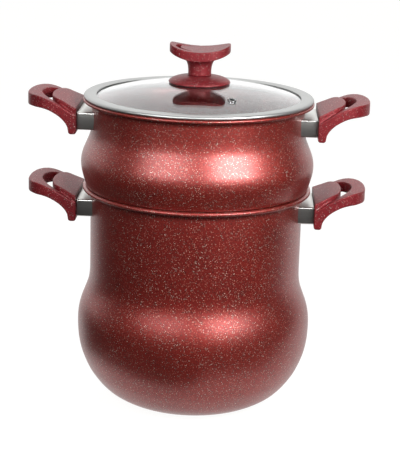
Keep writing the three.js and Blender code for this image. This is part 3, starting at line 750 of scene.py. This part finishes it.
finishPiece(newKnobHead(knob), "lid", phenolic, "knob_head", "moulded").name = "knobSaddle"
footOutline = knob["foot"] + flowing(knob["footTop"], 5) + knob["footEnd"]
footPiece = objectOf("knobFoot", spun(footOutline, knob["footSides"], closed=True))
finishPiece(footPiece, "lid", phenolic, "knob_base", "turned")
ringPiece = objectOf("knobRing", spun(knob["gasket"], knob["ringSides"], closed=True))
finishPiece(ringPiece, "lid", silicone, "knob_gasket")
for part, material in (("insert", insertBrass), ("washer", fixingSteel), ("screw", fixingSteel)):
    mesh = nodes["knob_" + part].data
    mesh.materials.clear()
    mesh.materials.append(material)
print("knob made")


# Floor and surroundings

floorLook = {
    "radius": 14, "sides": 64, "roughness": 0.8,
    "paper": (0.9, 0.9, 0.895), "lit": (0.45, 0.45, 0.445), "cloth": (0.04, 0.04, 0.04),
    "glow": (1, 1, 0.992), "share": 0.9, "seenGlow": 1.07, "litGlow": 0.9, "clothGlow": 0.03,
}
floorForm = bmesh.new()
bmesh.ops.create_circle(floorForm, cap_ends=True, segments=floorLook["sides"], radius=floorLook["radius"])
floorPiece = objectOf("studioFloor", floorForm)
floorPaper, floorTree, floorShader = newMaterial("palePaper", {"Roughness": floorLook["roughness"]})
seen = addNode(floorTree, "ShaderNodeLightPath")
directOrGlossy = maths(floorTree, "MAXIMUM", (seen, "Is Camera Ray"), (seen, "Is Glossy Ray"))
seenAtAll = maths(floorTree, "MAXIMUM", directOrGlossy, (seen, "Is Transmission Ray"))
glow = addNode(floorTree, "ShaderNodeEmission", {"Color": (*floorLook["glow"], 1)})
share = maths(floorTree, "MULTIPLY", seenAtAll, floorLook["share"])

# A dark cloth lies in front and at the sides, out of the picture: only reflections meet it.
# It starts beyond a lit patch round the pot, and opens like a wedge towards the front.
clothPlace = {
    "offCentre": 0.06, "lean": 0.12, "opening": -0.78, "front": -0.24, "back": -0.175,
    "patchScale": (1, 1.38, 0), "patchShift": (0.001, 0, 0), "patchIn": 0.197, "patchOut": 0.227,
}
ground = addNode(floorTree, "ShaderNodeTexCoord")
fromFront = addNode(floorTree, "ShaderNodeSeparateXYZ")
join(floorTree, ground, "Object", fromFront, 0)
offCentre = maths(floorTree, "SUBTRACT", (fromFront, "X"), clothPlace["offCentre"])
aside = maths(floorTree, "ABSOLUTE", offCentre)
leaning = maths(floorTree, "MULTIPLY_ADD", (fromFront, "X"), clothPlace["lean"], (fromFront, "Y"))
wedge = maths(floorTree, "MULTIPLY_ADD", aside, clothPlace["opening"], leaning)
beyond = addNode(floorTree, "ShaderNodeMapRange", {
    "From Min": clothPlace["front"], "From Max": clothPlace["back"],
    "To Min": floorLook["clothGlow"], "To Max": floorLook["litGlow"],
}, interpolation_type="SMOOTHSTEP")
join(floorTree, *wedge, beyond, 0)
nearPot = addNode(floorTree, "ShaderNodeVectorMath", operation="MULTIPLY_ADD")
nearPot.inputs[1].default_value = clothPlace["patchScale"]
nearPot.inputs[2].default_value = clothPlace["patchShift"]
join(floorTree, ground, "Object", nearPot, 0)
away = addNode(floorTree, "ShaderNodeVectorMath", operation="LENGTH")
join(floorTree, nearPot, 0, away, 0)
ring = addNode(floorTree, "ShaderNodeMapRange", {
    "From Min": clothPlace["patchIn"], "From Max": clothPlace["patchOut"],
    "To Min": floorLook["litGlow"], "To Max": floorLook["clothGlow"],
}, interpolation_type="SMOOTHSTEP")
join(floorTree, away, "Value", ring, 0)
cloth = maths(floorTree, "MAXIMUM", (beyond, 0), (ring, 0))
reflected = blendColours(floorTree, cloth, floorLook["cloth"], floorLook["lit"])
shown = blendColours(floorTree, (seen, "Is Camera Ray"), reflected, floorLook["paper"])
join(floorTree, *shown, floorShader, "Base Color")
shine = addNode(floorTree, "ShaderNodeMix", data_type="FLOAT")
join(floorTree, seen, "Is Camera Ray", shine, 0)
join(floorTree, *cloth, shine, 2)
shine.inputs[3].default_value = floorLook["seenGlow"]
join(floorTree, shine, 0, glow, "Strength")
blendShader = addNode(floorTree, "ShaderNodeMixShader")
join(floorTree, *share, blendShader, 0)
join(floorTree, floorShader, 0, blendShader, 1)
join(floorTree, glow, 0, blendShader, 2)
join(floorTree, blendShader, 0, floorTree.nodes["Material Output"], "Surface")
floorPiece.data.materials.append(floorPaper)

# The room is white behind and above the object and dim behind the camera.
room = {
    "dim": 0.02, "white": 1.25, "from": 0.25, "to": 0.75, "lift": 0.2, "slant": -0.26,
    "seen": 1.0, "colour": (1, 1, 0.995),
}
surroundings = bpy.data.worlds.new("studioRoom")
scene.world = surroundings
surroundings.use_nodes = True
sky = surroundings.node_tree
backdrop = sky.nodes["Background"]
facing = addNode(sky, "ShaderNodeTexCoord")
split = addNode(sky, "ShaderNodeSeparateXYZ")
join(sky, facing, "Generated", split, 0)
raised = maths(sky, "MULTIPLY_ADD", (split, 2), room["lift"], (split, 1))
behind = maths(sky, "MULTIPLY_ADD", (split, 0), room["slant"], raised)
level = addNode(sky, "ShaderNodeMapRange", {
    "From Min": room["from"], "From Max": room["to"], "To Min": room["dim"], "To Max": room["white"],
}, interpolation_type="SMOOTHSTEP")
join(sky, *behind, level, 0)
rays = addNode(sky, "ShaderNodeLightPath")
directOnly = addNode(sky, "ShaderNodeMix", data_type="FLOAT")
join(sky, rays, "Is Camera Ray", directOnly, 0)
join(sky, level, 0, directOnly, 2)
directOnly.inputs[3].default_value = room["seen"]
backdrop.inputs["Color"].default_value = (*room["colour"], 1)
join(sky, directOnly, 0, backdrop, "Strength")
print("studio set")
